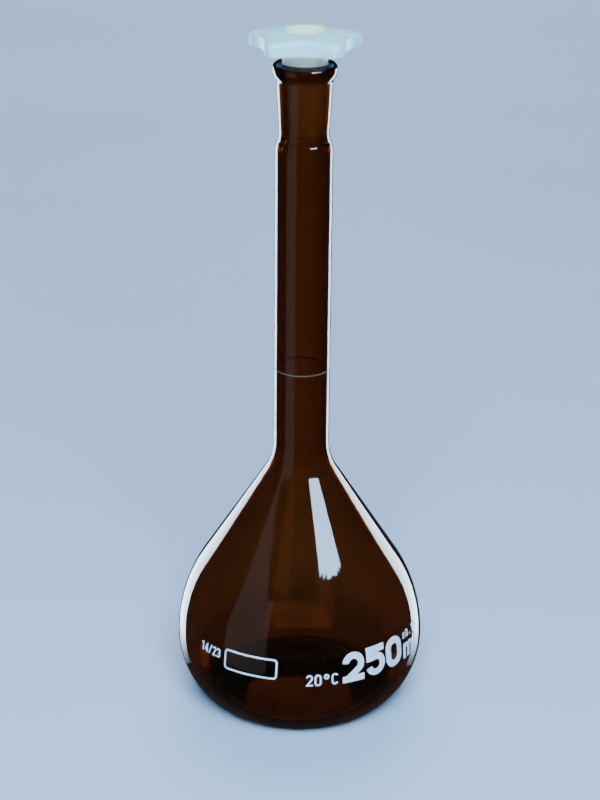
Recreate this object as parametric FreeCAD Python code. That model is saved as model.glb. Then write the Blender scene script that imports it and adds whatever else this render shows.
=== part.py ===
import FreeCAD, Part
import os
from math import atan, atan2, cos, degrees, radians, sin, sqrt, tan

# A 250 ml one-mark volumetric flask of amber glass with a plastic stopper.
# The frame: +Z up, the flask stands on the plane z = 0, its axis is the Z axis and
# the printed side faces -Y. All lengths are in millimetres and all angles in degrees.

# Bulb and neck, outside
foot_inner_r = 21.8
foot_outer_r = 26.1
kick_height = 4.6
heel_r = 7.2
bulb_r = 41.1
bulb_widest_z = 22.9
upper_bulb_r = 50.3
cone_angle = 32.9
throat_r = 17.8
neck_r = 9.0
seal_z = 189.5

# Glass thickness: the neck is drawn from a thicker tube than the blown bulb
wall = 1.5
neck_wall = 1.8
base_centre_wall = 2.9
floor_edge_r = 28.0
floor_edge_z = 3.2
floor_rounding = 6.0
kick_rounding = 1.5

# The graduation line, where the flask holds its capacity
mark_z = 118.5
mark_height = 0.4
mark_thickness = 0.08
capacity_ml = 250.0

# Ground socket 14/23: a taper of 1 in 10 on the diameter, 14.5 mm wide at the mouth
taper_per_side = 0.05
socket_mouth_r = 7.25
socket_length = 23.0
rim_z = 217.9
shoulder_start_z = 190.1
waist_r = 7.8
waist_z = 195.6
bead_start_r = 8.7
bead_start_z = 212.3
bead_r = 10.1
bead_widest_z = 215.8
bead_fillet = 1.0

# Stopper: a hollow plug, open at the top, under a five-cornered grip with a slightly domed top.
# The corner radius is to the sharp corner, before it is rounded.
plug_clearance = 0.05
plug_bottom_z = 195.0
plug_floor = 1.2
plug_bottom_rounding = 1.0
hollow_top_r = 6.3
hollow_bottom_r = 5.05
hollow_rounding = 1.5
hollow_mouth_rounding = 0.5
grip_bottom_z = 222.0
grip_height = 5.9
grip_corners = 5
grip_corner_r = 21.7
grip_scallop_r = 13.8
grip_corner_rounding = 3.5
grip_azimuth = 35.0
grip_dome_r = 81.0
grip_top_rounding = 1.1
grip_bottom_rounding = 0.5
shank_r = 6.95

# Fired enamel print: a thin skin sunk slightly into the bulb, between two angles of its outline
print_sink = 0.02
print_rise = 0.10
print_low_angle = -14.0
print_high_angle = 22.0

# Each printed group: the azimuth of its middle (0 faces -Y, positive towards +X), the pitch
# between its figures, the height of its middle, and the figures' (width, height, stroke)
capacity_azimuth = 37.5
capacity_pitch = 12.0
capacity_z = 28.8
capacity_size = (7.8, 10.2, 2.25)
m_azimuth = 61.6
m_size = (6.6, 7.4, 1.35)
l_azimuth = 68.9
l_size = (1.35, 6.6, 1.35)
tolerance_azimuth = 64.2
tolerance_pitch = 3.1
tolerance_z = 32.0
tolerance_size = (1.7, 2.6, 0.42)
temperature_azimuth = 10.5
temperature_pitch = 3.9
temperature_z = 25.9
temperature_size = (2.3, 4.0, 0.58)
joint_size_azimuth = -45.7
joint_size_pitch = 2.6
joint_size_z = 30.1
joint_size_size = (1.6, 3.1, 0.48)
frame_azimuth = -23.3
frame_z = 29.3
frame_size = (18.8, 7.0, 0.6)
frame_corner = 1.4

ORIGIN = FreeCAD.Vector(0, 0, 0)
UP = FreeCAD.Vector(0, 0, 1)
PRISM_START = 30.0
PRISM_LENGTH = 20.0

# Centres and ends of the tangent arcs that make up the bulb's outline
overhang = bulb_r - foot_outer_r
lower_bulb_r = (overhang ** 2 + bulb_widest_z ** 2 - 2 * bulb_widest_z * heel_r) / (2 * (overhang - heel_r))
lower_centre = (bulb_r - lower_bulb_r, bulb_widest_z)
upper_centre = (bulb_r - upper_bulb_r, bulb_widest_z)
heel_centre = (foot_outer_r, heel_r)
heel_angle = degrees(atan2(heel_centre[1] - lower_centre[1], heel_centre[0] - lower_centre[0]))
neck_bore_r = neck_r - neck_wall
bead_top_r = rim_z - bead_widest_z
lip_r = bead_r - bead_top_r - socket_mouth_r
ground_top_z = rim_z - lip_r
ground_bottom_z = ground_top_z - socket_length
ground_bottom_r = socket_mouth_r - taper_per_side * socket_length


def spot(centre, radius, angle):
    """A point (r, z) of a circle in the plane of an outline."""
    return (centre[0] + radius * cos(radians(angle)), centre[1] + radius * sin(radians(angle)))


def vector(point):
    """An outline's (r, z) as a point in space, on the half plane through +X."""
    return FreeCAD.Vector(point[0], 0, point[1])


def line(start, end):
    return Part.makeLine(vector(start), vector(end))


def arc(centre, radius, start, end):
    """A circular arc of an outline, from one angle to another."""
    ends = [vector(spot(centre, radius, angle)) for angle in (start, (start + end) / 2, end)]
    return Part.Arc(*ends).toShape()


def spin(edges):
    """The solid of revolution of a closed outline."""
    return Part.Face(Part.Wire(edges)).revolve(ORIGIN, UP, 360)


def s_curve(lower, upper):
    """Two equal tangent arcs that join two vertical lines, the upper one nearer the axis."""
    step = lower[0] - upper[0]
    rise = upper[1] - lower[1]
    radius = (step ** 2 + rise ** 2) / (4 * step)
    turn = 2 * degrees(atan(step / rise))
    outward = arc((lower[0] - radius, lower[1]), radius, 0, turn)
    inward = arc((upper[0] + radius, upper[1]), radius, 180 + turn, 180)
    return [outward, inward]


def rim_edges(solid, radius, height, slack=0.6):
    """The circular edges of a solid near one radius and one height."""
    found = []
    for edge in solid.Edges:
        box = edge.BoundBox
        flat = box.ZLength < slack
        if flat and abs(box.XMax - radius) < slack and abs(box.Center.z - height) < slack:
            found.append(edge)
    return found


def bulb_sides(offset, tube_r, top):
    """The outline from the bulb's widest circle, moved inwards by an offset, up its shoulder and
    cone and through the throat into a tube of a given radius, as far as a height."""
    upper = upper_bulb_r - offset
    throat = throat_r + offset
    cone_start = spot(upper_centre, upper, cone_angle)
    cone_end_r = tube_r + throat * (1 - cos(radians(cone_angle)))
    cone_end_z = cone_start[1] + (cone_start[0] - cone_end_r) / tan(radians(cone_angle))
    throat_centre = (tube_r + throat, cone_end_z + throat * sin(radians(cone_angle)))
    return [
        arc(upper_centre, upper, 0, cone_angle),
        line(cone_start, (cone_end_r, cone_end_z)),
        arc(throat_centre, throat, 180 + cone_angle, 180),
        line((tube_r, throat_centre[1]), (tube_r, top)),
    ]


def glass_outside():
    """The bulb and neck as one full solid, with the push-up under the base."""
    kick_r = (foot_inner_r ** 2 + kick_height ** 2) / (2 * kick_height)
    kick_centre = (0, kick_height - kick_r)
    kick_edge = degrees(atan2(-kick_centre[1], foot_inner_r))
    edges = [
        arc(kick_centre, kick_r, 90, kick_edge),
        line((foot_inner_r, 0), (foot_outer_r, 0)),
        arc(heel_centre, heel_r, -90, heel_angle),
        arc(lower_centre, lower_bulb_r, heel_angle, 0),
    ]
    edges += bulb_sides(0, neck_r, seal_z)
    edges += [
        line((neck_r, seal_z), (0, seal_z)),
        line((0, seal_z), (0, kick_height)),
    ]
    solid = spin(edges)
    return solid.makeFillet(kick_rounding, rim_edges(solid, foot_inner_r, 0))


def glass_cavity(top):
    """What the glass holds, from the floor up to a height in the neck."""
    lower = lower_bulb_r - wall
    lowest_z = lower_centre[1] - lower
    edges = [
        line((0, lowest_z), (lower_centre[0], lowest_z)),
        arc(lower_centre, lower, -90, 0),
    ]
    edges += bulb_sides(wall, neck_bore_r, top)
    edges += [
        line((neck_bore_r, top), (0, top)),
        line((0, top), (0, lowest_z)),
    ]
    floor_top = kick_height + base_centre_wall
    floor_drop = floor_top - floor_edge_z
    floor_r = (floor_edge_r ** 2 + floor_drop ** 2) / (2 * floor_drop)
    floor_dome = Part.makeSphere(floor_r, FreeCAD.Vector(0, 0, floor_top - floor_r))
    cavity = spin(edges).cut(floor_dome)
    return cavity.makeFillet(floor_rounding, rim_edges(cavity, floor_edge_r, floor_edge_z, 2.0))


def bulb_and_neck():
    return glass_outside().cut(glass_cavity(seal_z + 1))


def ground_socket():
    """The taper tube sealed onto the neck, with its shoulder, its ground bore and its beaded rim."""
    step = bead_r - bead_start_r
    rise = bead_widest_z - bead_start_z
    flank_r = (step ** 2 + rise ** 2) / (2 * step)
    flank_start = -degrees(atan2(rise, flank_r - step))
    bore_foot = (neck_bore_r, shoulder_start_z)
    bore_waist = (ground_bottom_r, ground_bottom_z)
    edges = [
        line((neck_bore_r, seal_z), (neck_r, seal_z)),
        line((neck_r, seal_z), (neck_r, shoulder_start_z)),
    ]
    edges += s_curve((neck_r, shoulder_start_z), (waist_r, waist_z))
    edges += [
        line((waist_r, waist_z), (bead_start_r, bead_start_z)),
        arc((bead_r - flank_r, bead_widest_z), flank_r, flank_start, 0),
        arc((bead_r - bead_top_r, bead_widest_z), bead_top_r, 0, 90),
        arc((socket_mouth_r + lip_r, ground_top_z), lip_r, 90, 180),
        line((socket_mouth_r, ground_top_z), bore_waist),
    ]
    edges += s_curve(bore_foot, bore_waist)[::-1]
    edges += [line(bore_foot, (neck_bore_r, seal_z))]
    solid = spin(edges)
    return solid.makeFillet(bead_fillet, rim_edges(solid, bead_start_r, bead_start_z, 0.3))


def ring_mark():
    """The graduation line, a thin band fired all round the neck."""
    low = mark_z - mark_height / 2
    band = Part.makeCylinder(neck_r + mark_thickness, mark_height, FreeCAD.Vector(0, 0, low))
    return band.cut(Part.makeCylinder(neck_r - print_sink, mark_height, FreeCAD.Vector(0, 0, low)))


def grip():
    """The stopper's head: five rounded corners with a scallop between each two, and a domed top."""
    turn = 360 / grip_corners
    edges = []
    for index in range(grip_corners):
        ring = []
        for share, radius in ((0, grip_corner_r), (0.5, grip_scallop_r), (1, grip_corner_r)):
            angle = radians(grip_azimuth - 90 + turn * (index + share))
            ring.append(FreeCAD.Vector(radius * cos(angle), radius * sin(angle), grip_bottom_z))
        edges.append(Part.Arc(*ring).toShape())
    plate = Part.Face(Part.Wire(edges)).extrude(UP * grip_height)
    upright = [edge for edge in plate.Edges if edge.BoundBox.ZLength > grip_height / 2]
    plate = plate.makeFillet(grip_corner_rounding, upright)
    dome_centre = FreeCAD.Vector(0, 0, grip_bottom_z + grip_height - grip_dome_r)
    plate = plate.common(Part.makeSphere(grip_dome_r, dome_centre))
    top = [edge for edge in plate.Edges if edge.BoundBox.ZMin > grip_bottom_z + grip_height / 4]
    plate = plate.makeFillet(grip_top_rounding, top)
    bottom = [edge for edge in plate.Edges if edge.BoundBox.ZMax < grip_bottom_z + 0.001]
    return plate.makeFillet(grip_bottom_rounding, bottom)


def plug_radius(z):
    """The plug's taper follows the socket's, a running clearance inside it."""
    return socket_mouth_r - plug_clearance - taper_per_side * (ground_top_z - z)


def stopper():
    """The tapered plug, a slightly narrower shank above the rim, the grip, and the hollow in them."""
    grip_top_z = grip_bottom_z + grip_height
    grip_middle_z = grip_bottom_z + grip_height / 3
    bottom_r = plug_radius(plug_bottom_z)
    taper_top_r = plug_radius(ground_top_z)
    outline = (
        (0, plug_bottom_z),
        (bottom_r, plug_bottom_z),
        (taper_top_r, ground_top_z),
        (shank_r, ground_top_z + 2 * (taper_top_r - shank_r)),
        (shank_r, grip_middle_z),
        (0, grip_middle_z),
    )
    plug = spin([line(start, end) for start, end in zip(outline, outline[1:] + outline[:1])])
    plug = plug.makeFillet(plug_bottom_rounding, rim_edges(plug, bottom_r, plug_bottom_z, 0.1))
    hollow_bottom_z = plug_bottom_z + plug_floor
    hollow_start = FreeCAD.Vector(0, 0, hollow_bottom_z)
    hollow = Part.makeCone(hollow_bottom_r, hollow_top_r, grip_top_z - hollow_bottom_z, hollow_start)
    hollow = hollow.makeFillet(hollow_rounding, rim_edges(hollow, hollow_bottom_r, hollow_bottom_z, 0.1))
    solid = grip().fuse(plug).cut(hollow)
    mouth_z = grip_top_z - grip_dome_r + sqrt(grip_dome_r ** 2 - hollow_top_r ** 2)
    return solid.makeFillet(hollow_mouth_rounding, rim_edges(solid, hollow_top_r, mouth_z, 0.1))


def print_skin():
    """The thin layer of enamel thickness round the part of the bulb that is printed."""
    low = print_low_angle
    high = print_high_angle
    outer_low = lower_bulb_r + print_rise
    inner_low = lower_bulb_r - print_sink
    outer_high = upper_bulb_r + print_rise
    inner_high = upper_bulb_r - print_sink
    edges = [
        line(spot(lower_centre, inner_low, low), spot(lower_centre, outer_low, low)),
        arc(lower_centre, outer_low, low, 0),
        arc(upper_centre, outer_high, 0, high),
        line(spot(upper_centre, outer_high, high), spot(upper_centre, inner_high, high)),
        arc(upper_centre, inner_high, high, 0),
        arc(lower_centre, inner_low, 0, low),
    ]
    return spin(edges)


def prism(edges):
    """A closed outline in the plane y = -30, pushed away from the axis."""
    return Part.Face(Part.Wire(edges)).extrude(FreeCAD.Vector(0, -PRISM_LENGTH, 0))


def flat(x, z):
    return FreeCAD.Vector(x, -PRISM_START, z)


def polygon(*points):
    corners = [flat(x, z) for x, z in points]
    return prism([Part.makeLine(a, b) for a, b in zip(corners, corners[1:] + corners[:1])])


def bar(start, end, stroke):
    """A straight stroke with square ends."""
    length = sqrt((end[0] - start[0]) ** 2 + (end[1] - start[1]) ** 2)
    across = ((start[1] - end[1]) / length * stroke / 2, (end[0] - start[0]) / length * stroke / 2)
    return polygon(
        (start[0] + across[0], start[1] + across[1]),
        (start[0] - across[0], start[1] - across[1]),
        (end[0] - across[0], end[1] - across[1]),
        (end[0] + across[0], end[1] + across[1]),
    )


def bow(centre, radius, start, end, stroke):
    """A round stroke whose middle line is an arc."""
    rings = []
    for size in (radius + stroke / 2, radius - stroke / 2):
        ring = []
        for angle in (start, (start + end) / 2, end):
            x, z = spot(centre, size, angle)
            ring.append(flat(x, z))
        rings.append(ring)
    outer, inner = rings
    return prism([
        Part.Arc(*outer).toShape(),
        Part.makeLine(outer[2], inner[2]),
        Part.Arc(*inner[::-1]).toShape(),
        Part.makeLine(inner[0], outer[0]),
    ])


def pill(width, height, corner):
    """A full upright shape with rounded corners, about the middle of the figure."""
    half = width / 2
    side = half - corner
    top = height / 2 - corner
    edges = []
    corners = ((side, top, 0), (-side, top, 90), (-side, -top, 180), (side, -top, 270))
    for index, (x, z, start) in enumerate(corners):
        turn = [spot((x, z), corner, angle) for angle in (start, start + 45, start + 90)]
        edges.append(Part.Arc(*[flat(*point) for point in turn]).toShape())
        after = corners[(index + 1) % 4]
        next_start = spot(after[:2], corner, after[2])
        if (flat(*next_start) - flat(*turn[2])).Length > 0.001:
            edges.append(Part.makeLine(flat(*turn[2]), flat(*next_start)))
    return prism(edges)


def joined(strokes):
    """One figure from its strokes."""
    if len(strokes) == 1:
        return strokes[0]
    return strokes[0].multiFuse(strokes[1:]).removeSplitter()


def zero(width, height, stroke):
    outer = pill(width, height, width * 0.46)
    inner = pill(width - 2 * stroke, height - 2 * stroke, (width - 2 * stroke) * 0.46)
    return outer.cut(inner)


def one(width, height, stroke):
    top = height / 2
    flag = (-width * 0.32, top - height * 0.2)
    return joined([
        bar((0.1 * width, -top), (0.1 * width, top), stroke),
        bar(flag, (0.1 * width, top - stroke * 0.6), stroke),
    ])


def two(width, height, stroke):
    radius = (width - stroke) / 2
    centre = (0, height / 2 - width / 2)
    tail = spot(centre, radius, -42)
    foot_z = -height / 2 + stroke / 2
    return joined([
        bow(centre, radius, 172, -42, stroke),
        bar((tail[0] + 0.1 * stroke, tail[1] + 0.1 * stroke), (-radius + 0.2 * stroke, foot_z), stroke),
        bar((-width / 2, foot_z), (width / 2, foot_z), stroke),
    ])


def three(width, height, stroke):
    small = (height + stroke) / 4 - stroke / 2
    return joined([
        bow((0, height / 2 - stroke / 2 - small), small, 160, -90, stroke),
        bow((0, -height / 2 + stroke / 2 + small), small, 90, -160, stroke),
    ])


def four(width, height, stroke):
    stem_x = width * 0.2
    cross_z = -height * 0.22
    return joined([
        bar((stem_x, -height / 2), (stem_x, height / 2), stroke),
        bar((-width / 2, cross_z), (width / 2, cross_z), stroke),
        bar((stem_x, height / 2 - stroke * 0.5), (-width / 2 + stroke * 0.4, cross_z), stroke),
    ])


def five(width, height, stroke):
    radius = (width - stroke) / 2
    centre = (0, -height / 2 + width / 2)
    top_z = height / 2 - stroke / 2
    side_x = -radius + stroke * 0.1
    return joined([
        bar((side_x - stroke / 2, top_z), (width / 2 - stroke * 0.1, top_z), stroke),
        bar((side_x, height / 2), (side_x, centre[1] + radius * 0.5), stroke),
        bow(centre, radius, 128, -165, stroke),
    ])


def slash(width, height, stroke):
    return bar((-width * 0.3, -height / 2), (width * 0.3, height / 2), stroke)


def degree_sign(width, height, stroke):
    radius = width * 0.28
    centre = (0, height / 2 - radius - stroke / 2)
    return joined([bow(centre, radius, 0, 180, stroke), bow(centre, radius, 180, 360, stroke)])


def capital_c(width, height, stroke):
    radius = (width - stroke) / 2
    upper = (0, height / 2 - width / 2)
    lower = (0, -height / 2 + width / 2)
    return joined([
        bow(upper, radius, 20, 180, stroke),
        bar((-radius, upper[1] + 0.01), (-radius, lower[1] - 0.01), stroke),
        bow(lower, radius, 180, 340, stroke),
    ])


def small_m(width, height, stroke):
    """A lower-case m that stands on the foot line of the tall figures."""
    base = -height / 2
    top = base + height * 0.72
    spread = (width - stroke) / 2
    radius = spread / 2
    spring = top - radius - stroke / 2
    strokes = [bar((-spread, base), (-spread, top), stroke)]
    for x in (0, spread):
        strokes.append(bar((x, base), (x, spring), stroke))
        strokes.append(bow((x - radius, spring), radius, 0, 180, stroke))
    return joined(strokes)


def small_l(width, height, stroke):
    return bar((0, -height / 2), (0, height / 2), stroke)


def plus_minus(width, height, stroke):
    reach = width * 0.42
    middle = height * 0.12
    return joined([
        bar((-reach, middle), (reach, middle), stroke),
        bar((0, middle - reach), (0, middle + reach), stroke),
        bar((-reach, middle - reach - stroke), (reach, middle - reach - stroke), stroke),
    ])


def point_sign(width, height, stroke):
    foot_z = -height / 2 + stroke * 0.6
    return bar((-stroke * 0.6, foot_z), (stroke * 0.6, foot_z), stroke * 1.2)


def frame_box(width, height, stroke):
    """A blank box for the user's own note."""
    outer = pill(width, height, frame_corner)
    return outer.cut(pill(width - 2 * stroke, height - 2 * stroke, frame_corner - stroke))


def placed(figure, azimuth, z):
    """A figure turned to its azimuth, where 0 faces -Y and positive goes towards +X."""
    moved = figure.copy()
    moved.translate(FreeCAD.Vector(0, 0, z))
    moved.rotate(ORIGIN, UP, azimuth)
    return moved


def fired(skin, figures):
    """The part of the enamel skin under each figure, as separate solids."""
    patches = []
    for figure in figures:
        patches += skin.common(figure).Solids
    return Part.makeCompound(patches)


def row_of_figures(drawers, azimuth, pitch, z, size):
    """A line of figures that wraps round the bulb, centred on an azimuth."""
    middle = (len(drawers) - 1) / 2
    return [placed(draw(*size), azimuth + (index - middle) * pitch, z) for index, draw in enumerate(drawers)]


def print_capacity(skin):
    drawers = (two, five, zero)
    return fired(skin, row_of_figures(drawers, capacity_azimuth, capacity_pitch, capacity_z, capacity_size))


def print_unit(skin):
    """The letters m and l, on the capacity figures' foot line."""
    foot_z = capacity_z - capacity_size[1] / 2
    m = placed(small_m(*m_size), m_azimuth, foot_z + m_size[1] / 2)
    l = placed(small_l(*l_size), l_azimuth, foot_z + l_size[1] / 2)
    return fired(skin, [m, l])


def print_tolerance(skin):
    drawers = (plus_minus, zero, point_sign, one, five)
    figures = row_of_figures(
        drawers, tolerance_azimuth, tolerance_pitch, tolerance_z, tolerance_size)
    return fired(skin, figures)


def print_temperature(skin):
    drawers = (two, zero, degree_sign, capital_c)
    figures = row_of_figures(
        drawers, temperature_azimuth, temperature_pitch, temperature_z, temperature_size)
    return fired(skin, figures)


def print_joint_size(skin):
    drawers = (one, four, slash, two, three)
    figures = row_of_figures(
        drawers, joint_size_azimuth, joint_size_pitch, joint_size_z, joint_size_size)
    return fired(skin, figures)


def print_frame(skin):
    return fired(skin, [placed(frame_box(*frame_size), frame_azimuth, frame_z)])


def main():
    os.makedirs("parts", exist_ok=True)
    held = glass_cavity(mark_z).Volume / 1000
    print("volume held up to the graduation line: %.2f ml, nominal %.0f ml" % (held, capacity_ml))
    skin = print_skin()
    nodes = {
        "bulb_and_neck": bulb_and_neck(),
        "ground_socket": ground_socket(),
        "ring_mark": ring_mark(),
        "print_capacity": print_capacity(skin),
        "print_unit": print_unit(skin),
        "print_tolerance": print_tolerance(skin),
        "print_temperature": print_temperature(skin),
        "print_joint_size": print_joint_size(skin),
        "print_frame": print_frame(skin),
        "stopper": stopper(),
    }
    for name, shape in nodes.items():
        solids = len(shape.Solids)
        print("%-18s %s %2d solids %9.2f mm3" % (name, shape.isValid(), solids, shape.Volume))
        shape.exportStep("parts/%s.step" % name)


main()
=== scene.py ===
from math import atan, atan2, cos, degrees, pi, radians, sin, sqrt, tan

import bmesh
import bpy
from mathutils import Matrix, Vector


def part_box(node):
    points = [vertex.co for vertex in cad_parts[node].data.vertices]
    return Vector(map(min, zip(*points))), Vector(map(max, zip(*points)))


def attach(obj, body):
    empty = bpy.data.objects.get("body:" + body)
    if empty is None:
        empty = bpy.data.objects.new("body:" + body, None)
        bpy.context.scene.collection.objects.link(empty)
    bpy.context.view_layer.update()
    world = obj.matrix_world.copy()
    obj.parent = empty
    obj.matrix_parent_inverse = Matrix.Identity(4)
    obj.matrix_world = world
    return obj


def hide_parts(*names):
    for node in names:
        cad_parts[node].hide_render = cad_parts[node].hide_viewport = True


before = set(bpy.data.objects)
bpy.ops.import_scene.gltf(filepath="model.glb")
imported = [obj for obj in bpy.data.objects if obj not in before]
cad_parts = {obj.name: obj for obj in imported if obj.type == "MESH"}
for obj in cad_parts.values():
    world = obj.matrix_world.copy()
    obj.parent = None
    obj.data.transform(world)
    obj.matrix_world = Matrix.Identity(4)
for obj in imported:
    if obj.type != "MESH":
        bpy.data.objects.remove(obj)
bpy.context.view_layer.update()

# ---------------------------------------------------------------- sizes, in metres
MM = 0.001

# The glass outline, the same arcs that the frame's two glass nodes are turned from
FOOT_INNER_R = 21.8 * MM
FOOT_OUTER_R = 26.1 * MM
KICK_HEIGHT = 4.6 * MM
KICK_ROUNDING = 0.75 * MM
HEEL_R = 7.2 * MM
BULB_R = 41.1 * MM
BULB_WIDEST_Z = 22.9 * MM
UPPER_BULB_R = 50.3 * MM
CONE_ANGLE = 32.9
THROAT_R = 17.8 * MM
NECK_R = 9.0 * MM
WALL = 1.5 * MM
NECK_WALL = 1.8 * MM
FLOOR_WALL = 2.9 * MM
FLOOR_EDGE_R = 28.0 * MM
FLOOR_EDGE_Z = 3.2 * MM
FLOOR_ROUNDING = 6.0 * MM

# The ground socket
SHOULDER_Z = 190.1 * MM
WAIST_R = 7.8 * MM
WAIST_Z = 195.6 * MM
BEAD_START_R = 8.7 * MM
BEAD_START_Z = 212.3 * MM
BEAD_FILLET = 1.0 * MM
BEAD_R = 10.1 * MM
BEAD_WIDEST_Z = 215.8 * MM
SOCKET_MOUTH_R = 7.25 * MM
SOCKET_LENGTH = 23.0 * MM
TAPER = 0.05
RIM_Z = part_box("ground_socket")[1].z
LIP_R = BEAD_R - (RIM_Z - BEAD_WIDEST_Z) - SOCKET_MOUTH_R
GROUND_TOP_Z = RIM_Z - LIP_R
GROUND_LOW_Z = GROUND_TOP_Z - SOCKET_LENGTH

# The stopper
PLUG_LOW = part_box("stopper")[0].z
PLUG_CLEARANCE = 0.05 * MM
PLUG_FLOOR = 1.2 * MM
PLUG_ROUNDING = 1.0 * MM
SHANK_R = 6.95 * MM
HOLLOW_TOP_R = 6.3 * MM
HOLLOW_BOTTOM_R = 5.05 * MM
HOLLOW_ROUNDING = 1.5 * MM
HOLLOW_LIP = 0.5 * MM
GRIP_LOW = 222.0 * MM
GRIP_HEIGHT = 5.9 * MM
GRIP_CORNERS = 5
GRIP_CORNER_R = 21.7 * MM
GRIP_SCALLOP_R = 13.8 * MM
GRIP_CORNER_ROUNDING = 3.5 * MM
GRIP_AZIMUTH = 35.0
GRIP_DOME_R = 81.0 * MM
GRIP_TOP_ROUNDING = 1.1 * MM
GRIP_BOTTOM_ROUNDING = 0.5 * MM

# Narrow rings beside a sharp change of slope, which keep the smooth shading from crossing it
SHANK_GUARD = 0.2 * MM
EDGE_GUARD = 0.3 * MM

# How finely the glass is divided: round the axis, then along each stretch of its outline
GLASS_SEGMENTS = 256
KICK_STEPS = 24
FOOT_STEPS = 6
HEEL_STEPS = 12
LOWER_BULB_STEPS = 24
SHOULDER_STEPS = 28
CONE_GUARD_STEPS = 120
CONE_STEPS = 16
THROAT_STEPS = 20
TUBE_STEPS = 14
SOCKET_CURVE_STEPS = 10
WAIST_STEPS = 10
FLANK_STEPS = 10
FLANK_SKIP = 3
FILLET_STEPS = 5
BEAD_TOP_STEPS = 12
LIP_STEPS = 6
INNER_STEPS = 20

# How finely the stopper is divided
GRIP_SEGMENTS = 480
PLUG_STEPS = 6
TAPER_TOP_STEPS = 3
EDGE_STEPS = 8
HOLLOW_STEPS = 6
SIDE_SHARES = (0.06, 0.5, 0.94)
DOME_SHARES = (0.04, 0.12, 0.3, 0.5, 0.7, 0.88, 1.0)

# ---------------------------------------------------------------- finishes
GLASS_IOR = 1.49
AMBER = (0.625, 0.350, 0.030)
AMBER_DENSITY = 1800.0
MASK_FADE = 0.1 * MM
MASK_END_FADE = 0.3 * MM
DRAWN_DEPTH = 0.04 * MM
FINE_DEPTH = 0.02 * MM
PRINT_BRIGHT = (0.76, 0.86, 0.97)
PRINT_DULL = (0.66, 0.76, 0.88)
LINE_BRIGHT = (0.12, 0.07, 0.05)
LINE_DULL = (0.08, 0.05, 0.035)
PLASTIC_IOR = 1.5
# The grip's blue tones are painted blue light; the plug's tones are the plastic's own colour
GRIP_BLUE_LIGHT_TONES = ((0.3, (0.40, 0.82, 0.98)), (0.7, (0.48, 0.88, 1.0)))
PLUG_OWN_TONES = ((0.3, (0.86, 0.85, 0.80)), (0.7, (0.92, 0.91, 0.86)))
# Painted amber glow on the walls of the stopper's hollow
HOLLOW_PAINTED_GLOW = (0.92, 0.96, 0.66)
SCATTER_WEIGHT = 0.75
SCATTER_RADIUS = (1.0, 1.1, 1.2)
SCATTER_SCALE = 0.004
FLOOR_TONES = ((0.3, (0.50, 0.64, 0.88)), (0.7, (0.53, 0.67, 0.91)))

# The colour sockets of a Mix node
MIX_FACTOR = 0
MIX_FIRST = 6
MIX_SECOND = 7
MIX_RESULT = 2

# ---------------------------------------------------------------- studio
# Lengths of the lens and the sensor in millimetres, angles in degrees
LENS = 89.52
SENSOR = 36.0
CAMERA_DISTANCE = 0.5973
CAMERA_HEIGHT = 0.3539
CAMERA_ASIDE = -0.00058
CAMERA_TILT = 22.486
CAMERA_ROLL = 0.54
CAMERA_NEAR = 0.01

STAGE_SIDE = 6.0
STAGE_WALL_Y = 3.6
STAGE_WALL_TOP = 4.0
STAGE_BEND = 1.2
STAGE_BEND_STEPS = 48

COOL_WHITE = (0.90, 0.95, 1.0)
BLUE_WHITE = (0.62, 0.82, 1.0)
KEY_BLUE = (0.54, 0.78, 1.0)
WINDOW_BLUE = (0.42, 0.68, 1.0)
SKY = (0.72, 0.80, 0.92)
SKY_STRENGTH = 0.05

STRIP_DISTANCE = 0.8
STRIP_RADIANCE = 14.0
STRIP_UP = (-0.36, 0.20)
FADE_BOXES = 6
FADE_HEIGHT = 0.03
FADE_SHARE = 0.6
FADE_FIRST_LOW = -0.39

CEILING_PLACE = (0, 1.6, 1.9)
CEILING_SIDE = 1.6
CEILING_RADIANCE = 5.5


# ---------------------------------------------------------------- outlines
def spot(centre, radius, angle):
    """A point (r, z) on a circle in the plane of an outline."""
    return (centre[0] + radius * cos(radians(angle)), centre[1] + radius * sin(radians(angle)))


def sweep(centre, radius, start, end, steps):
    """Points along an arc of an outline, both ends included."""
    return [spot(centre, radius, start + (end - start) * i / steps) for i in range(steps + 1)]


def straight(start, end, steps):
    """Points along a straight stretch, without its ends."""
    points = []
    for i in range(1, steps):
        share = i / steps
        points.append((start[0] + (end[0] - start[0]) * share, start[1] + (end[1] - start[1]) * share))
    return points


def s_curve(lower, upper, steps):
    """Two equal tangent arcs between two upright lines, the upper one nearer the axis."""
    step = lower[0] - upper[0]
    rise = upper[1] - lower[1]
    radius = (step ** 2 + rise ** 2) / (4 * step)
    turn = 2 * degrees(atan(step / rise))
    outward = sweep((lower[0] - radius, lower[1]), radius, 0, turn, steps)
    inward = sweep((upper[0] + radius, upper[1]), radius, 180 + turn, 180, steps)
    return outward + inward[1:]


def rounded(points, radii, steps):
    """A polyline with the corners that radii names rounded by tangent arcs."""
    result = []
    for i, point in enumerate(points):
        radius = radii.get(i)
        if not radius:
            result.append(point)
            continue
        here = Vector(point)
        back = (Vector(points[i - 1]) - here).normalized()
        ahead = (Vector(points[i + 1]) - here).normalized()
        half = back.angle(ahead) / 2
        reach = radius / tan(half)
        centre = here + (back + ahead).normalized() * radius / sin(half)
        start = here + back * reach - centre
        end = here + ahead * reach - centre
        turn = start.angle_signed(end)
        for k in range(steps + 1):
            angle = -turn * k / steps
            x = start.x * cos(angle) - start.y * sin(angle)
            y = start.x * sin(angle) + start.y * cos(angle)
            result.append((centre.x + x, centre.y + y))
    return result


def lower_bulb():
    """Radius and centre of the arc between the heel and the bulb's widest circle."""
    across = BULB_R - FOOT_OUTER_R
    top = across ** 2 + BULB_WIDEST_Z ** 2 - 2 * BULB_WIDEST_Z * HEEL_R
    radius = top / (2 * (across - HEEL_R))
    return radius, (BULB_R - radius, BULB_WIDEST_Z)


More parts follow.
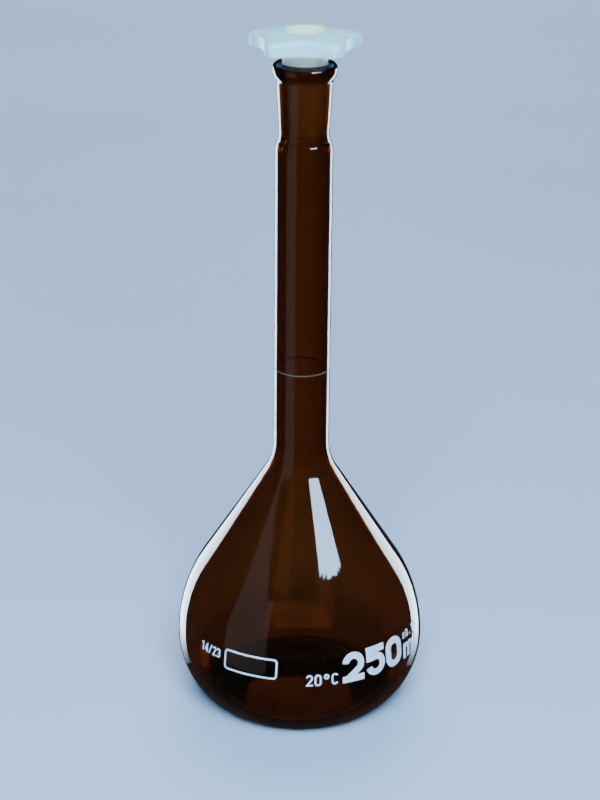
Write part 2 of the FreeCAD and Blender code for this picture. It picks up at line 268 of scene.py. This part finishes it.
def bulb_sides(offset, tube_r):
    """From the widest circle, moved inwards by an offset, up through the throat into a tube."""
    middle = (BULB_R - UPPER_BULB_R, BULB_WIDEST_Z)
    shoulder = sweep(middle, UPPER_BULB_R - offset, 0, CONE_ANGLE, SHOULDER_STEPS)
    bend = THROAT_R + offset
    cone_end_r = tube_r + bend * (1 - cos(radians(CONE_ANGLE)))
    cone_end_z = shoulder[-1][1] + (shoulder[-1][0] - cone_end_r) / tan(radians(CONE_ANGLE))
    throat_centre = (tube_r + bend, cone_end_z + bend * sin(radians(CONE_ANGLE)))
    throat = sweep(throat_centre, bend, 180 + CONE_ANGLE, 180, THROAT_STEPS)
    # one ring close above the shoulder keeps the cone's shading true right down to it
    guard = straight(shoulder[-1], throat[0], CONE_GUARD_STEPS)[:1]
    return shoulder + guard + straight(shoulder[-1], throat[0], CONE_STEPS) + throat


def base_outside():
    """From the axis under the base over its push-up and onto the ring that the flask stands on."""
    kick_r = (FOOT_INNER_R ** 2 + KICK_HEIGHT ** 2) / (2 * KICK_HEIGHT)
    kick_centre = (0, KICK_HEIGHT - kick_r)
    kick_edge = degrees(atan2(-kick_centre[1], FOOT_INNER_R))
    kick = sweep(kick_centre, kick_r, 90, kick_edge, KICK_STEPS)
    return kick[:-2] + rounded([kick[-2], kick[-1], (FOOT_OUTER_R, 0)], {1: KICK_ROUNDING}, FOOT_STEPS)


def bead_outside(waist):
    """From the socket's waist up its side, round the bead and up to the top of the rim."""
    step = BEAD_R - BEAD_START_R
    rise = BEAD_WIDEST_Z - BEAD_START_Z
    flank_r = (step ** 2 + rise ** 2) / (2 * step)
    flank_start = -degrees(atan2(rise, flank_r - step))
    flank = sweep((BEAD_R - flank_r, BEAD_WIDEST_Z), flank_r, flank_start, 0, FLANK_STEPS)
    bead_foot = rounded([waist, flank[0], flank[FLANK_SKIP]], {1: BEAD_FILLET}, FILLET_STEPS)
    points = straight(waist, bead_foot[1], WAIST_STEPS) + bead_foot[1:-1] + flank[FLANK_SKIP:]
    bead_top = RIM_Z - BEAD_WIDEST_Z
    return points + sweep((BEAD_R - bead_top, BEAD_WIDEST_Z), bead_top, 0, 90, BEAD_TOP_STEPS)[1:]


def glass_outside():
    """From the axis under the base, round the heel and up to the top of the rim."""
    radius, centre = lower_bulb()
    heel_centre = (FOOT_OUTER_R, HEEL_R)
    heel_angle = degrees(atan2(heel_centre[1] - centre[1], heel_centre[0] - centre[0]))
    points = base_outside()
    points += sweep(heel_centre, HEEL_R, -90, heel_angle, HEEL_STEPS)[1:]
    points += sweep(centre, radius, heel_angle, 0, LOWER_BULB_STEPS)[1:]
    points += bulb_sides(0, NECK_R)[1:]
    points += straight(points[-1], (NECK_R, SHOULDER_Z), TUBE_STEPS)
    points += s_curve((NECK_R, SHOULDER_Z), (WAIST_R, WAIST_Z), SOCKET_CURVE_STEPS)
    return points + bead_outside(points[-1])


def floor_inside():
    """From the inner wall's widest circle down it and over the inner floor to the axis."""
    radius, centre = lower_bulb()
    inner = radius - WALL
    floor_top = KICK_HEIGHT + FLOOR_WALL
    drop = floor_top - FLOOR_EDGE_Z
    floor_r = (FLOOR_EDGE_R ** 2 + drop ** 2) / (2 * drop)
    floor_centre = (0, floor_top - floor_r)
    # the rounding between wall and floor touches the wall's arc from inside and the floor's dome from above
    near = inner - FLOOR_ROUNDING
    far = floor_r + FLOOR_ROUNDING
    gap = Vector(floor_centre) - Vector(centre)
    along = (gap.length ** 2 + near ** 2 - far ** 2) / (2 * gap.length)
    aside = sqrt(near ** 2 - along ** 2)
    unit = gap.normalized()
    heel = Vector(centre) + unit * along + Vector((-unit.y, unit.x)) * aside
    wall_angle = degrees(atan2(heel.y - centre[1], heel.x - centre[0]))
    floor_angle = degrees(atan2(heel.y - floor_centre[1], heel.x - floor_centre[0]))
    points = sweep(centre, inner, 0, wall_angle, INNER_STEPS)[1:]
    points += sweep(tuple(heel), FLOOR_ROUNDING, wall_angle, floor_angle - 180, HEEL_STEPS)[1:]
    points += sweep(floor_centre, floor_r, floor_angle, 90, INNER_STEPS)[1:]
    return points


def glass_inside():
    """From the top of the rim down the ground bore and the neck to the axis on the floor."""
    ground_low = (SOCKET_MOUTH_R - TAPER * SOCKET_LENGTH, GROUND_LOW_Z)
    bore_r = NECK_R - NECK_WALL
    points = sweep((SOCKET_MOUTH_R + LIP_R, GROUND_TOP_Z), LIP_R, 90, 180, LIP_STEPS)[1:]
    points += straight(points[-1], ground_low, TUBE_STEPS)
    points += s_curve((bore_r, SHOULDER_Z), ground_low, SOCKET_CURVE_STEPS)[::-1]
    sides = bulb_sides(WALL, bore_r)[::-1]
    points += straight(points[-1], sides[0], TUBE_STEPS) + sides
    return points + floor_inside()


# ---------------------------------------------------------------- meshes
def loft(name, rings):
    """A closed mesh from a stack of rings. A ring is a list of (radius, height), one for each
    direction, and a ring of a single point is a pole."""
    mesh = bpy.data.meshes.new(name)
    shape = bmesh.new()
    rows = []
    for ring in rings:
        row = []
        for k, (radius, height) in enumerate(ring):
            angle = 2 * pi * k / len(ring)
            row.append(shape.verts.new((radius * cos(angle), radius * sin(angle), height)))
        rows.append(row)
    for low, high in zip(rows, rows[1:]):
        count = max(len(low), len(high))
        for k in range(count):
            after = (k + 1) % count
            corners = [row[i % len(row)] for row, i in ((low, k), (low, after), (high, after), (high, k))]
            face = shape.faces.new(list(dict.fromkeys(corners)))
            face.smooth = True
    bmesh.ops.recalc_face_normals(shape, faces=shape.faces)
    shape.to_mesh(mesh)
    shape.free()
    piece = bpy.data.objects.new(name, mesh)
    bpy.context.scene.collection.objects.link(piece)
    return piece


def turned(points, segments):
    """Rings of a solid of revolution. A point on the axis becomes a pole."""
    on_axis = 1e-7
    return [[(r, z)] * segments if r > on_axis else [(0, z)] for r, z in points]


# ---------------------------------------------------------------- materials
def material(name):
    made = bpy.data.materials.new(name)
    made.use_nodes = True
    nodes = made.node_tree.nodes
    return made, nodes, made.node_tree.links, nodes["Principled BSDF"]


def place_in_object(nodes, links):
    """The X, Y and Z sockets of a point's place in the object."""
    place = nodes.new("ShaderNodeTexCoord")
    parts = nodes.new("ShaderNodeSeparateXYZ")
    links.new(place.outputs["Object"], parts.inputs["Vector"])
    return parts.outputs


def from_axis(nodes, links, parts):
    """Distance from the object's axis."""
    flat = nodes.new("ShaderNodeCombineXYZ")
    ring = nodes.new("ShaderNodeVectorMath")
    ring.operation = "LENGTH"
    links.new(parts["X"], flat.inputs["X"])
    links.new(parts["Y"], flat.inputs["Y"])
    links.new(flat.outputs["Vector"], ring.inputs[0])
    return ring.outputs["Value"]


def noise(nodes, links, scale, detail, stretch=(1, 1, 1)):
    """Object-space noise, stretched along the axes."""
    place = nodes.new("ShaderNodeTexCoord")
    mapping = nodes.new("ShaderNodeMapping")
    mapping.inputs["Scale"].default_value = stretch
    texture = nodes.new("ShaderNodeTexNoise")
    texture.inputs["Scale"].default_value = scale
    texture.inputs["Detail"].default_value = detail
    links.new(place.outputs["Object"], mapping.inputs["Vector"])
    links.new(mapping.outputs["Vector"], texture.inputs["Vector"])
    return texture.outputs["Fac"]


def ramp(nodes, links, source, stops):
    """A colour ramp from (position, colour) stops."""
    node = nodes.new("ShaderNodeValToRGB")
    elements = node.color_ramp.elements
    for element, (position, colour) in zip(elements, stops):
        element.position = position
        element.color = (*colour, 1)
    links.new(source, node.inputs["Fac"])
    return node.outputs["Color"]


def map_range(nodes, links, source, start, end, low=0.0, high=1.0, curve="LINEAR"):
    """A value that goes from low to high while the source goes from start to end."""
    node = nodes.new("ShaderNodeMapRange")
    node.interpolation_type = curve
    node.inputs["From Min"].default_value = start
    node.inputs["From Max"].default_value = end
    node.inputs["To Min"].default_value = low
    node.inputs["To Max"].default_value = high
    links.new(source, node.inputs["Value"])
    return node.outputs["Result"]


def spread(nodes, links, source, low, high):
    """A value between low and high that follows a noise."""
    return map_range(nodes, links, source, 0.3, 0.7, low, high)


def product(nodes, links, first, second):
    node = nodes.new("ShaderNodeMath")
    node.operation = "MULTIPLY"
    links.new(first, node.inputs[0])
    links.new(second, node.inputs[1])
    return node.outputs[0]


def band(nodes, links, source, low, high, fade):
    """1 between two values of the source and 0 outside them, with a short fade at each end."""
    rise = map_range(nodes, links, source, low - fade, low)
    fall = map_range(nodes, links, source, high + fade, high)
    return product(nodes, links, rise, fall)


def bump(nodes, links, shader, height, distance):
    node = nodes.new("ShaderNodeBump")
    node.inputs["Strength"].default_value = 1.0
    node.inputs["Distance"].default_value = distance
    links.new(height, node.inputs["Height"])
    links.new(node.outputs["Normal"], shader.inputs["Normal"])


def colour_mix(nodes, links, factor, first):
    """A Mix node from a first colour to a second one, which the caller sets or links."""
    node = nodes.new("ShaderNodeMix")
    node.data_type = "RGBA"
    links.new(factor, node.inputs[MIX_FACTOR])
    links.new(first, node.inputs[MIX_FIRST])
    return node.inputs[MIX_SECOND], node.outputs[MIX_RESULT]


def amber_glass():
    """Clear brown borosilicate: the colour is in the glass, so thick places are darker.
    Only the socket's bore is ground."""
    made, nodes, links, shader = material("amber_glass")
    shader.inputs["Base Color"].default_value = (1, 1, 1, 1)
    shader.inputs["Transmission Weight"].default_value = 1.0
    shader.inputs["IOR"].default_value = GLASS_IOR
    parts = place_in_object(nodes, links)
    bore_r = SOCKET_MOUTH_R + MASK_FADE
    in_socket = band(nodes, links, parts["Z"], GROUND_LOW_Z, GROUND_TOP_Z, MASK_END_FADE)
    in_bore = band(nodes, links, from_axis(nodes, links, parts), 0, bore_r, MASK_FADE)
    drawn = noise(nodes, links, scale=38.0, detail=2.0, stretch=(1, 1, 0.22))
    grit = noise(nodes, links, scale=2500.0, detail=2.0)
    finish = nodes.new("ShaderNodeMix")
    links.new(product(nodes, links, in_socket, in_bore), finish.inputs["Factor"])
    links.new(spread(nodes, links, drawn, low=0.0, high=0.012), finish.inputs["A"])
    links.new(spread(nodes, links, grit, low=0.12, high=0.22), finish.inputs["B"])
    links.new(finish.outputs["Result"], shader.inputs["Roughness"])
    bump(nodes, links, shader, drawn, DRAWN_DEPTH)
    inside = nodes.new("ShaderNodeVolumeAbsorption")
    inside.inputs["Color"].default_value = (*AMBER, 1)
    inside.inputs["Density"].default_value = AMBER_DENSITY
    links.new(inside.outputs["Volume"], nodes["Material Output"].inputs["Volume"])
    return made


def enamel(name, bright, dull):
    """Screen-printed enamel, fired on: matt, faintly mottled, with fine pits."""
    made, nodes, links, shader = material(name)
    grain = noise(nodes, links, scale=900.0, detail=4.0)
    cloud = noise(nodes, links, scale=160.0, detail=3.0)
    links.new(ramp(nodes, links, cloud, ((0.3, dull), (0.6, bright))), shader.inputs["Base Color"])
    links.new(spread(nodes, links, grain, low=0.42, high=0.62), shader.inputs["Roughness"])
    bump(nodes, links, shader, grain, FINE_DEPTH)
    return made


def natural_plastic():
    """Milky polyethylene, neutral in the plug and shank; the grip's blue is painted blue light, and the
    hollow's yellow is a painted amber glow.
    """
    made, nodes, links, shader = material("natural_plastic")
    parts = place_in_object(nodes, links)
    flow = noise(nodes, links, scale=140.0, detail=3.0, stretch=(1, 1, 0.5))
    fine = noise(nodes, links, scale=1400.0, detail=2.0)
    # painted blue light on the grip; below it the plug keeps the plastic's own neutral tones
    blue_lit = ramp(nodes, links, flow, GRIP_BLUE_LIGHT_TONES)
    own_colour = ramp(nodes, links, flow, PLUG_OWN_TONES)
    in_grip = map_range(nodes, links, parts["Z"], GRIP_LOW - 1.0 * MM, GRIP_LOW + 0.5 * MM)
    body_second, body = colour_mix(nodes, links, in_grip, own_colour)
    links.new(blue_lit, body_second)
    # painted amber glow: the hollow's walls are coloured yellow towards the axis
    fade = (HOLLOW_TOP_R - 0.4 * MM, HOLLOW_TOP_R + 1.2 * MM)
    in_hollow = map_range(nodes, links, from_axis(nodes, links, parts), *fade, 1.0, 0.0, "SMOOTHSTEP")
    tint_second, tinted = colour_mix(nodes, links, in_hollow, body)
    tint_second.default_value = (*HOLLOW_PAINTED_GLOW, 1)
    links.new(tinted, shader.inputs["Base Color"])
    shader.inputs["Subsurface Weight"].default_value = SCATTER_WEIGHT
    shader.inputs["Subsurface Radius"].default_value = SCATTER_RADIUS
    shader.inputs["Subsurface Scale"].default_value = SCATTER_SCALE
    shader.inputs["IOR"].default_value = PLASTIC_IOR
    links.new(spread(nodes, links, flow, low=0.30, high=0.42), shader.inputs["Roughness"])
    bump(nodes, links, shader, fine, FINE_DEPTH)
    return made


# ---------------------------------------------------------------- the flask
def build_glass():
    piece = loft("flask_glass", turned(glass_outside() + glass_inside(), GLASS_SEGMENTS))
    piece.data.materials.append(amber_glass())
    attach(piece, "flask")
    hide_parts("bulb_and_neck", "ground_socket")


# ---------------------------------------------------------------- the stopper
def grip_radii(count):
    """The grip's outline: rounded corners with a scallop between each two."""
    turn = 2 * pi / GRIP_CORNERS
    half = turn / 2
    chord_x = GRIP_CORNER_R * cos(half)
    chord_half = GRIP_CORNER_R * sin(half)
    sagitta = chord_x - GRIP_SCALLOP_R
    arc_r = (chord_half ** 2 + sagitta ** 2) / (2 * sagitta)
    arc_x = GRIP_SCALLOP_R + arc_r
    # the corner's rounding touches both scallops from outside
    reach = arc_r + GRIP_CORNER_ROUNDING
    corner_x = arc_x * cos(half) - sqrt(reach ** 2 - (arc_x * sin(half)) ** 2)
    # where the rounding ends and the scallop begins, seen from the axis
    touch = GRIP_CORNER_ROUNDING / reach
    touch_x = corner_x + (arc_x * cos(half) - corner_x) * touch
    touch_y = arc_x * sin(half) * touch
    corner_end = atan2(touch_y, touch_x)
    first_corner = radians(GRIP_AZIMUTH - 90)
    radii = []
    for k in range(count):
        angle = (2 * pi * k / count - first_corner) % turn
        off_corner = min(angle, turn - angle)
        off_middle = half - off_corner
        if off_corner < corner_end:
            inside = GRIP_CORNER_ROUNDING ** 2 - (corner_x * sin(off_corner)) ** 2
            radii.append(corner_x * cos(off_corner) + sqrt(inside))
        else:
            inside = arc_r ** 2 - (arc_x * sin(off_middle)) ** 2
            radii.append(arc_x * cos(off_middle) - sqrt(inside))
    return radii


def dome(radius):
    """The height of the grip's top at a distance from the axis."""
    return GRIP_LOW + GRIP_HEIGHT - GRIP_DOME_R + sqrt(GRIP_DOME_R ** 2 - radius ** 2)


def plug_rings():
    """The plug and the shank, up to the grip's flat underside."""
    taper_top_r = SOCKET_MOUTH_R - PLUG_CLEARANCE
    end_r = taper_top_r - TAPER * (GROUND_TOP_Z - PLUG_LOW)
    shank_low = (SHANK_R, GROUND_TOP_Z + 2 * (taper_top_r - SHANK_R))
    shank_top = (SHANK_R, GRIP_LOW)
    path = [(0, PLUG_LOW), (end_r, PLUG_LOW), (taper_top_r, GROUND_TOP_Z)]
    outer = rounded(path, {1: PLUG_ROUNDING}, PLUG_STEPS)
    outer += straight(outer[-1], shank_low, TAPER_TOP_STEPS) + [shank_low]
    outer += straight(outer[-1], shank_top, PLUG_STEPS)
    outer += [shank_top, (SHANK_R + SHANK_GUARD, GRIP_LOW)]
    return turned(outer, GRIP_SEGMENTS)


def grip_side_rings(outline):
    """The edge of the grip's underside, round its lower edge, up its side and round its upper edge."""
    under = GRIP_BOTTOM_ROUNDING
    edge = GRIP_TOP_ROUNDING
    side_low = GRIP_LOW + under
    angles = [radians(90 * k / EDGE_STEPS) for k in range(EDGE_STEPS + 1)]
    rings = [[(r - under - EDGE_GUARD, GRIP_LOW) for r in outline]]
    for angle in angles:
        rings.append([(r - under * (1 - sin(angle)), GRIP_LOW + under * (1 - cos(angle))) for r in outline])
    for share in SIDE_SHARES:
        rings.append([(r, side_low + share * (dome(r) - edge - side_low)) for r in outline])
    for angle in angles:
        inset = edge * (1 - cos(angle))
        rings.append([(r - inset, dome(r - inset) - edge * (1 - sin(angle))) for r in outline])
    return rings


def grip_top_rings(outline, mouth):
    """Across the domed top to the mouth of the hollow."""
    rings = []
    for share in DOME_SHARES:
        edges = [r - GRIP_TOP_ROUNDING for r in outline]
        reach = [edge + (mouth - edge) * share for edge in edges]
        rings.append([(r, dome(r)) for r in reach])
    return rings


def hollow_rings(mouth):
    """Over the hollow's lip and down it to the axis on its floor."""
    low = PLUG_LOW + PLUG_FLOOR
    path = [(mouth, dome(mouth)), (HOLLOW_TOP_R, dome(HOLLOW_TOP_R)), (HOLLOW_BOTTOM_R, low), (0, low)]
    inner = rounded(path, {1: HOLLOW_LIP, 2: HOLLOW_ROUNDING}, HOLLOW_STEPS)
    return turned(inner[1:], GRIP_SEGMENTS)


def build_stopper():
    outline = grip_radii(GRIP_SEGMENTS)
    mouth = HOLLOW_TOP_R + HOLLOW_LIP + EDGE_GUARD
    rings = plug_rings() + grip_side_rings(outline) + grip_top_rings(outline, mouth) + hollow_rings(mouth)
    piece = loft("stopper_body", rings)
    piece.data.materials.append(natural_plastic())
    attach(piece, "stopper")
    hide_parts("stopper")


# ---------------------------------------------------------------- print and graduation line
def paint_prints():
    white = enamel("white_enamel", PRINT_BRIGHT, PRINT_DULL)
    line = enamel("mark_enamel", LINE_BRIGHT, LINE_DULL)
    for name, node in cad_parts.items():
        if name.startswith("print_") or name == "ring_mark":
            node.data.materials.clear()
            node.data.materials.append(line if name == "ring_mark" else white)


# ---------------------------------------------------------------- stage
def add_camera():
    data = bpy.data.cameras.new("camera")
    data.sensor_width = SENSOR
    data.lens = LENS
    data.clip_start = CAMERA_NEAR
    camera = bpy.data.objects.new("camera", data)
    bpy.context.scene.collection.objects.link(camera)
    turn = Matrix.Rotation(radians(90 - CAMERA_TILT), 4, "X") @ Matrix.Rotation(radians(CAMERA_ROLL), 4, "Z")
    camera.matrix_world = Matrix.Translation((CAMERA_ASIDE, -CAMERA_DISTANCE, CAMERA_HEIGHT)) @ turn
    bpy.context.scene.camera = camera


def add_floor():
    """A plain pale sheet that lies under the flask and bends up into a wall far behind it."""
    bend_centre = (STAGE_WALL_Y - STAGE_BEND, STAGE_BEND)
    path = [(-STAGE_SIDE, 0)] + sweep(bend_centre, STAGE_BEND, -90, 0, STAGE_BEND_STEPS)
    path.append((STAGE_WALL_Y, STAGE_WALL_TOP))
    vertices = []
    for y, z in path:
        vertices += [(-STAGE_SIDE, y, z), (STAGE_SIDE, y, z)]
    faces = [(i, i + 1, i + 3, i + 2) for i in range(0, len(vertices) - 2, 2)]
    mesh = bpy.data.meshes.new("floor")
    mesh.from_pydata(vertices, [], faces)
    for face in mesh.polygons:
        face.use_smooth = True
    floor = bpy.data.objects.new("floor", mesh)
    bpy.context.scene.collection.objects.link(floor)
    mesh.materials.append(pale_floor())
    # kept out of the glass's reflections, as a dark table would be
    floor.visible_glossy = False


def pale_floor():
    made, nodes, links, shader = material("pale_floor")
    cloud = noise(nodes, links, scale=3.0, detail=2.0)
    links.new(ramp(nodes, links, cloud, FLOOR_TONES), shader.inputs["Base Color"])
    links.new(spread(nodes, links, cloud, low=0.6, high=0.7), shader.inputs["Roughness"])
    shader.inputs["Specular IOR Level"].default_value = 0.0
    return made


def add_softbox(name, azimuth, distance, across, up, radiance, colour, tilt=0.0, roll=0.0):
    """A soft box that faces the flask from an azimuth (0 is -Y, positive towards +X), leaning by a
    tilt and rolled in its own plane. In that plane it covers a stretch across and a stretch up,
    measured from the line through the frame's origin."""
    width = across[1] - across[0]
    height = up[1] - up[0]
    data = bpy.data.lights.new(name, "AREA")
    data.shape = "RECTANGLE"
    data.size = width
    data.size_y = height
    data.energy = radiance * pi * width * height
    data.color = colour
    light = bpy.data.objects.new(name, data)
    bpy.context.scene.collection.objects.link(light)
    facing = Matrix.Rotation(radians(azimuth), 4, "Z") @ Matrix.Rotation(radians(90 - tilt), 4, "X")
    facing = facing @ Matrix.Rotation(radians(roll), 4, "Z")
    middle = Vector((sum(across) / 2, sum(up) / 2, distance))
    light.matrix_world = facing @ Matrix.Translation(middle)
    light.visible_camera = False
    return light


def add_strip(name, azimuth, half_width):
    """A tall upright soft box behind the flask. It fades out towards its foot, below the table."""
    across = (-half_width, half_width)
    radiance = STRIP_RADIANCE
    add_box_behind(name, azimuth, across, STRIP_UP, radiance)
    for step in range(FADE_BOXES):
        radiance *= FADE_SHARE
        low = FADE_FIRST_LOW - FADE_HEIGHT * step
        add_box_behind("%s_fade_%d" % (name, step), azimuth, across, (low, low + FADE_HEIGHT), radiance)


def add_box_behind(name, azimuth, across, up, radiance):
    """A soft box that shows in the glass without lighting the floor."""
    box = add_softbox(name, azimuth, STRIP_DISTANCE, across, up, radiance, BLUE_WHITE)
    box.visible_diffuse = False


def add_window():
    """The large box whose reflection crosses the bulb. Two narrower panels below it make its
    lower edge bow downwards."""
    for name, across, up in (
        ("window", (0.0995, 0.6255), (-0.160, 0.45)),
        ("window_step", (0.16, 0.56), (-0.167, -0.160)),
        ("window_low_step", (0.24, 0.48), (-0.173, -0.167)),
    ):
        box = add_softbox(name, azimuth=19.5, distance=1.0, across=across, up=up, radiance=40.0,
                          colour=WINDOW_BLUE, tilt=47.3, roll=2.5)
        box.visible_transmission = False
        box.visible_diffuse = False


def add_key():
    """The light on the floor, the print and the grip, which no reflection shows."""
    key = add_softbox("key", azimuth=4, distance=1.2, across=(-0.30, 0.30), up=(-0.25, 0.25),
                      radiance=32.0, colour=KEY_BLUE, tilt=46)
    key.visible_glossy = False
    key.visible_transmission = False


def add_inner():
    """A broad weak box that reaches only what is behind glass, the plug above all."""
    inner = add_softbox("inner", azimuth=4, distance=1.2, across=(-0.70, 0.70), up=(-0.60, 0.60),
                        radiance=4.0, colour=COOL_WHITE, tilt=46)
    inner.visible_glossy = False
    inner.visible_diffuse = False


def add_ceiling():
    """A wide soft light overhead that evens out the floor."""
    data = bpy.data.lights.new("ceiling", "AREA")
    data.size = CEILING_SIDE
    data.energy = CEILING_RADIANCE * pi * data.size ** 2
    data.color = COOL_WHITE
    light = bpy.data.objects.new("ceiling", data)
    bpy.context.scene.collection.objects.link(light)
    light.location = CEILING_PLACE
    light.visible_camera = False
    light.visible_glossy = False


def add_sky():
    world = bpy.data.worlds.new("studio")
    world.use_nodes = True
    back = world.node_tree.nodes["Background"]
    back.inputs["Color"].default_value = (*SKY, 1)
    back.inputs["Strength"].default_value = SKY_STRENGTH
    bpy.context.scene.world = world


def add_lights():
    add_sky()
    add_window()
    add_key()
    add_inner()
    add_softbox("fill_left", azimuth=-50, distance=0.8, across=(-0.30, 0.30), up=(-0.28, 0.59),
                radiance=0.38, colour=COOL_WHITE)
    add_strip("strip_left", azimuth=-144.5, half_width=0.172)
    add_strip("strip_right", azimuth=139, half_width=0.152)
    add_ceiling()


build_glass()
build_stopper()
paint_prints()
add_camera()
add_floor()
add_lights()
